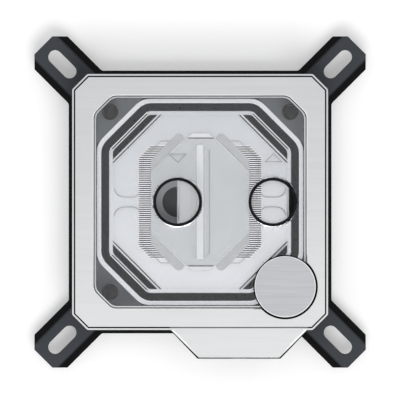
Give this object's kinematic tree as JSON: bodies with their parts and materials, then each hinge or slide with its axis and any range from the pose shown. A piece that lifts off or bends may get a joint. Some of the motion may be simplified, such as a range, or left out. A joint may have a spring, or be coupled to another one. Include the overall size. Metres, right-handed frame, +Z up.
{
  "type": "cpu water block",
  "caption": "Liquid cooling block for a processor: finned cold plate, clear top with two threaded ports, metal cover frame and X shaped mounting bracket.",
  "frame": {"origin": "middle of the cold plate's contact face, which lies at z = 0", "axes": "+Z up out of the contact face through the two ports, +X from the inlet port to the outlet port, -Y towards the tab with the light strip"},
  "size_m": [0.0914, 0.0914, 0.0204],
  "materials": {
    "nickel_plate": "nickel plated copper, satin",
    "gasket_rubber": "matt black rubber",
    "jet_steel": "stainless sheet",
    "insert_plastic": "pale moulded plastic",
    "bracket_steel": "black powder coat",
    "clear_acrylic": "clear, machined and polished",
    "frame_aluminium": "satin, finely brushed",
    "badge_black": "black moulded plastic",
    "badge_metal": "brushed, plain",
    "housing_plastic": "black moulded plastic",
    "board_laminate": "white circuit board",
    "lamp_package": "white lamp package with a clear lens",
    "black_screw": "black oxide steel",
    "small_screw": "plain steel"
  },
  "bodies": {
    "root": {"cold_plate": "nickel_plate", "main_gasket": "gasket_rubber", "corner_seal_1": "gasket_rubber", "corner_seal_2": "gasket_rubber", "corner_seal_3": "gasket_rubber", "corner_seal_4": "gasket_rubber", "jet_plate": "jet_steel", "flow_insert": "insert_plastic", "mounting_bracket": "bracket_steel", "clear_top": "clear_acrylic", "cover_frame": "frame_aluminium", "badge_seat": "badge_black", "badge_disc": "badge_metal", "light_housing": "housing_plastic", "light_board": "board_laminate", "led_1": "lamp_package", "led_2": "lamp_package", "led_3": "lamp_package", "led_4": "lamp_package", "corner_screw_1": "black_screw", "corner_screw_2": "black_screw", "corner_screw_3": "black_screw", "corner_screw_4": "black_screw", "frame_screw_1": "small_screw", "frame_screw_2": "small_screw", "frame_screw_3": "small_screw", "frame_screw_4": "small_screw", "housing_screw_1": "small_screw", "housing_screw_2": "small_screw"}
  },
  "joints": []
}
